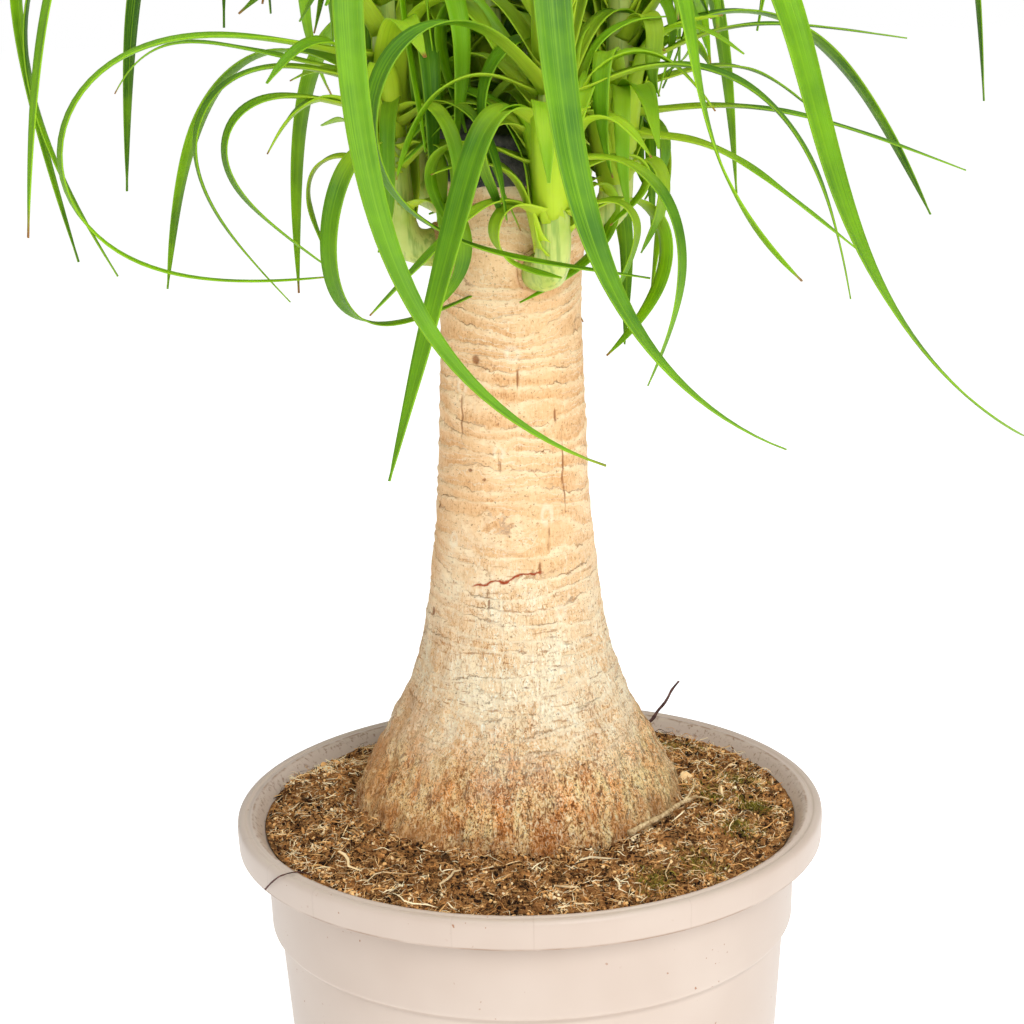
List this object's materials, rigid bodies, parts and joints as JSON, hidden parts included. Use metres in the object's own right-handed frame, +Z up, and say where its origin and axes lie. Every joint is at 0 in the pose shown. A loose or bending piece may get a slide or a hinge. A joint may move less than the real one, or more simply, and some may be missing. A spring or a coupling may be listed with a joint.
{
  "type": "potted ponytail palm",
  "caption": "Ponytail palm with a swollen, tapering trunk, wax-sealed cut top and side shoots of arching strap leaves, standing in a round nursery pot of soil.",
  "frame": {"origin": "middle of the pot's underside, in the plane it stands on", "axes": "+Z up along the pot's axis, -Y towards the plant's front, +X to its right"},
  "size_m": [0.4613, 0.5006, 0.6904],
  "materials": {
    "taupe_plastic": "moulded polypropylene, warm taupe, slight gloss with dust and soil specks",
    "potting_soil": "dry brown peat and coir with straw fibres and a little moss",
    "bark": "thin corky bark, cream above and orange brown at the flare, rippled across, matt",
    "dark_wax": "dark brown-black grafting wax, brushed on, weathered",
    "shoot_green": "fleshy yellow green, smooth",
    "leaf_green": "smooth strap leaf with fine parallel veins, semi-gloss",
    "dry_straw": "dry straw-coloured stalk",
    "dry_stalk": "dry dark stalk with a pale foot"
  },
  "bodies": {
    "root": {"pot": "taupe_plastic", "soil": "potting_soil", "trunk": "bark", "wound_wax": "dark_wax", "shoot_left": "shoot_green", "leaf_left_01": "leaf_green", "leaf_left_02": "leaf_green", "leaf_left_03": "leaf_green", "leaf_left_04": "leaf_green", "leaf_left_05": "leaf_green", "leaf_left_06": "leaf_green", "leaf_left_07": "leaf_green", "leaf_left_08": "leaf_green", "shoot_front": "shoot_green", "leaf_front_01": "leaf_green", "leaf_front_02": "leaf_green", "leaf_front_03": "leaf_green", "leaf_front_04": "leaf_green", "leaf_front_05": "leaf_green", "leaf_front_06": "leaf_green", "leaf_front_07": "leaf_green", "leaf_front_08": "leaf_green", "leaf_front_09": "leaf_green", "shoot_right": "shoot_green", "leaf_right_01": "leaf_green", "leaf_right_02": "leaf_green", "leaf_right_03": "leaf_green", "leaf_right_04": "leaf_green", "leaf_right_05": "leaf_green", "leaf_right_06": "leaf_green", "leaf_right_07": "leaf_green", "leaf_right_08": "leaf_green", "leaf_right_09": "leaf_green", "shoot_back_right": "shoot_green", "leaf_back_right_01": "leaf_green", "leaf_back_right_02": "leaf_green", "leaf_back_right_03": "leaf_green", "leaf_back_right_04": "leaf_green", "leaf_back_right_05": "leaf_green", "shoot_back": "shoot_green", "leaf_back_01": "leaf_green", "leaf_back_02": "leaf_green", "leaf_back_03": "leaf_green", "leaf_back_04": "leaf_green", "leaf_back_05": "leaf_green", "shoot_back_left": "shoot_green", "leaf_back_left_01": "leaf_green", "leaf_back_left_02": "leaf_green", "leaf_back_left_03": "leaf_green", "leaf_back_left_04": "leaf_green", "leaf_back_left_05": "leaf_green", "pale_twig": "dry_straw", "dark_stalk": "dry_stalk"}
  },
  "joints": []
}
